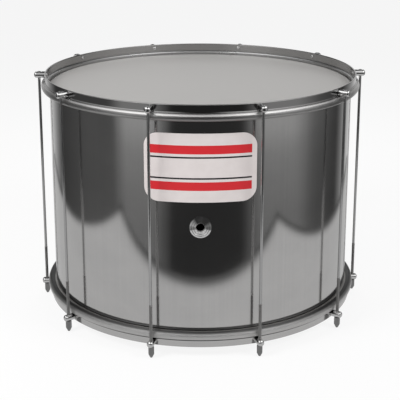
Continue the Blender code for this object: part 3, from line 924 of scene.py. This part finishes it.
# Brightness by angle round the drum: 0 is in front of it, 90 on its right and 180 behind it.
# The wall has a lower and a middle part, and above them the tent has a wall and a roof.
LOWER_LEVELS = [(-90, 0.1), (-65, 0.1), (-55, 0.2), (-35, 0.2), (-20, 0.03), (30, 0.03), (45, 0.2),
                (75, 0.2), (90, 0.1), (120, 0.05), (150, 0.7), (210, 0.7), (235, 0.05), (270, 0.1)]
MIDDLE_LEVELS = [(-90, 0.1), (-65, 0.1), (-55, 0.4), (-35, 0.4), (-20, 0.03), (30, 0.03), (45, 0.4),
                 (70, 0.4), (90, 0.15), (120, 0.05), (150, 0.7), (210, 0.7), (235, 0.05), (270, 0.1)]
UPPER_LEVELS = [(-90, 1.0), (-70, 1.5), (-45, 2.4), (-28, 2.2), (-16, 1.2), (0, 1.2), (16, 1.2),
                (28, 2.0), (45, 2.4), (70, 1.7), (90, 1.2), (110, 0.4), (130, 0.05), (230, 0.05),
                (250, 0.4), (270, 1.0)]
CEILING_LEVELS = [(-90, 0.85), (-60, 1.3), (-38, 1.4), (-28, 0.9), (-19, 0.04), (19, 0.04), (28, 0.8),
                  (38, 1.3), (60, 1.3), (90, 0.9), (110, 0.3), (130, 0.03), (230, 0.03), (250, 0.3),
                  (270, 0.85)]

# %% Backdrops


def by_angle(finish, levels):
    """A level that follows the angle round the drum, from its left round its front."""
    settings = {"gradient_type": "RADIAL"}
    turn_share = finish.add("ShaderNodeTexGradient", settings, {"Vector": finish.place})
    return finish.ramp(turn_share, [((angle + 90) / 360, level) for angle, level in levels])


def lit_backdrop(name, glow=1.0, paint_share=0.0):
    """A white backdrop with light of its own, and a share of paint that the lamps light."""
    finish = Finish(name)
    own = finish.add("ShaderNodeEmission", inputs={"Color": (1, 1, 1, 1), "Strength": glow})
    paint = finish.add("ShaderNodeBsdfDiffuse", inputs={"Color": (0.9, 0.9, 0.9, 1)})
    both = finish.add("ShaderNodeMixShader", inputs={0: paint_share, 1: own, 2: paint})
    finish.plug(finish.tree.nodes["Material Output"].inputs["Surface"], both)
    return finish


def lit_by(finish, level):
    """Let a backdrop's own light follow a level."""
    finish.plug(finish.tree.nodes["Emission"].inputs["Color"], level)
    return finish.material


def stand(piece, name, material, for_camera=False):
    """Name a backdrop and give it its material, and show it to the camera and the shadows or to the
    metal alone.
    """
    piece.name = piece.data.name = name
    piece.data.materials.append(material)
    piece.visible_camera = piece.visible_diffuse = piece.visible_shadow = for_camera
    piece.visible_glossy = not for_camera
    return piece


# %% Lay the floor and the table
bpy.ops.object.select_all(action="DESELECT")
bpy.ops.mesh.primitive_plane_add(size=FLOOR_SIZE, location=(0, 0, -0.5 * MM))
white_floor = lit_backdrop("white_floor", paint_share=FLOOR_PAINT).material
stand(bpy.context.object, "white_floor", white_floor, for_camera=True)

table_width = TABLE_RIGHT - TABLE_LEFT + 2 * EDGE_HALF
table_depth = TABLE_BACK - TABLE_FRONT + EDGE_HALF
table_middle = Vector(((TABLE_LEFT + TABLE_RIGHT) / 2, (TABLE_FRONT - EDGE_HALF + TABLE_BACK) / 2,
                       -0.4 * MM))
bpy.ops.mesh.primitive_plane_add(size=1, location=table_middle)
table = bpy.context.object
bpy.ops.transform.resize(value=(table_width, table_depth, 1))
bpy.ops.object.transform_apply(location=True, rotation=True, scale=True)


def table_top():
    """White paper, evenly lit, that fades out at its edges."""
    finish = lit_backdrop("table_top")
    x, y, _ = finish.axes()
    side = (x - (TABLE_LEFT + TABLE_RIGHT) / 2).size() - (TABLE_RIGHT - TABLE_LEFT) / 2
    front = TABLE_FRONT - y
    inside = finish.ramp(side + 0.5, EDGE_FADE) * finish.ramp(front + 0.5, EDGE_FADE)
    return lit_by(finish, TABLE_DIM + TABLE_LEVEL * inside)


stand(table, "table_top", table_top())
print("a white floor and a table of", round(table_width, 2), "by", round(table_depth, 2), "m")

# %% Build the room and the tent


def room_finish():
    """A dark room with pale screens, and a light tent above the height of the drum."""
    finish = lit_backdrop("dark_room")
    height_share = (finish.axes()[2] - ROOM_LOW) * (1 / (ROOM_HIGH - ROOM_LOW))
    lower, middle, upper = [by_angle(finish, levels)
                            for levels in (LOWER_LEVELS, MIDDLE_LEVELS, UPPER_LEVELS)]
    rise = finish.ramp(height_share, [(0.16, 0.0), (0.23, 0.4), (0.26, 1.0)])
    lift = finish.ramp(height_share, [(0.72, 0.0), (0.77, 1.0)])
    wall = lower + (middle - lower) * rise
    return lit_by(finish, wall + (upper - wall) * lift)


def light_ceiling():
    """The tent's roof, lit as its walls are and dark right above the drum."""
    finish = lit_backdrop("light_ceiling")
    flat = finish.stretched(1, 1, 0)
    reach = finish.add("ShaderNodeVectorMath", {"operation": "LENGTH"}, {0: flat}, output=1)
    share = reach * (1 / ROOM_RADIUS)
    roof = by_angle(finish, CEILING_LEVELS) * finish.ramp(share, [(0.2, 0.03), (0.3, 0.6), (0.45, 1.0)])
    border = finish.ramp(share, [(0.72, 0.0), (0.80, 1.0)])
    return lit_by(finish, roof + (by_angle(finish, UPPER_LEVELS) - roof) * border)


bpy.ops.mesh.primitive_cylinder_add(vertices=ROOM_STEPS, radius=ROOM_RADIUS,
                                    depth=ROOM_HIGH - ROOM_LOW, end_fill_type="NOTHING",
                                    location=(0, 0, (ROOM_HIGH + ROOM_LOW) / 2))
room = bpy.context.object
bpy.ops.object.transform_apply(location=True, rotation=True, scale=True)
stand(room, "dark_room", room_finish())
dark_ground = lit_backdrop("dark_ground", GROUND_LEVEL).material
for name, height, material in (("light_ceiling", ROOM_HIGH, light_ceiling()),
                               ("dark_ground", ROOM_LOW, dark_ground)):
    bpy.ops.mesh.primitive_circle_add(vertices=ROOM_STEPS, radius=ROOM_RADIUS, fill_type="NGON",
                                      location=(0, 0, height))
    stand(bpy.context.object, name, material)
print("a dark room", 2 * ROOM_RADIUS, "m across, with a light tent above")

# %% [markdown]
# ## Lamps and world
#
# Three soft lamps light what isn't metal: the film, the sticker and the floor. The metal
# doesn't mirror them. The world is white for the camera, and weaker as a light on the drum.

# %% Hang the lamps
DRUM_MIDDLE = (cad_low + cad_high) / 2


def soft_box(name, place, size, power):
    """A large square lamp that points at the drum and that the metal doesn't mirror."""
    lamp = bpy.data.lights.new(name, "AREA")
    lamp.shape, lamp.size, lamp.size_y, lamp.energy = "RECTANGLE", size, size, power
    holder = bpy.data.objects.new(name, lamp)
    bpy.context.scene.collection.objects.link(holder)
    holder.location = place
    holder.visible_glossy = False
    holder.rotation_euler = (DRUM_MIDDLE - Vector(place)).to_track_quat("-Z", "Y").to_euler()


soft_box("lamp_left", (-1.25, -1.0, 1.5), 0.8, 23)
soft_box("lamp_right", (1.55, -1.05, 1.75), 0.8, 20)
soft_box("lamp_back", (0.0, 1.3, 1.5), 0.9, 8.6)
print("three soft lamps")

# %% Set the world
WORLD_LIGHT = 0.40
world = bpy.data.worlds.new("pale_world")
bpy.context.scene.world = world
world.use_nodes = True
nodes, links = world.node_tree.nodes, world.node_tree.links
path = nodes.new("ShaderNodeLightPath")
seen = path.outputs["Is Camera Ray"]
for ray in ("Is Glossy Ray", "Is Transmission Ray"):
    either = nodes.new("ShaderNodeMath")
    either.operation = "MAXIMUM"
    links.new(seen, either.inputs[0])
    links.new(path.outputs[ray], either.inputs[1])
    seen = either.outputs[0]
level = nodes.new("ShaderNodeMapRange")
level.inputs["To Min"].default_value = WORLD_LIGHT
level.inputs["To Max"].default_value = 1.0
links.new(seen, level.inputs["Value"])
links.new(level.outputs[0], nodes["Background"].inputs["Strength"])
nodes["Background"].inputs["Color"].default_value = (1, 1, 1, 1)
bpy.context.scene.view_settings.view_transform = "Standard"
print("a white world, which lights the drum at", WORLD_LIGHT)

# %% [markdown]
# ## The camera
#
# The camera stands two metres in front of the drum and looks down on it. The picture's
# upright lines hardly lean together, so the camera is tilted a little less than it could be,
# and the picture is shifted to bring the drum back to the middle.

# %% Set the camera
CAMERA_PLACE = Vector((-0.0008, -2.088, 0.896))
CAMERA_AIM = Vector((-0.0008, 0.0, 0.3346))
CAMERA_LENS = 94.0
CAMERA_SHIFT = -0.15
camera_data = bpy.data.cameras.new("camera")
camera = bpy.data.objects.new("camera", camera_data)
bpy.context.scene.collection.objects.link(camera)
camera_data.sensor_width = 36
camera_data.lens = CAMERA_LENS
camera_data.shift_y = CAMERA_SHIFT
camera.location = CAMERA_PLACE
camera.rotation_euler = (CAMERA_AIM - CAMERA_PLACE).to_track_quat("-Z", "Y").to_euler()
bpy.context.scene.camera = camera
print("the camera is", round((CAMERA_PLACE - DRUM_MIDDLE).length, 2), "m from the drum")
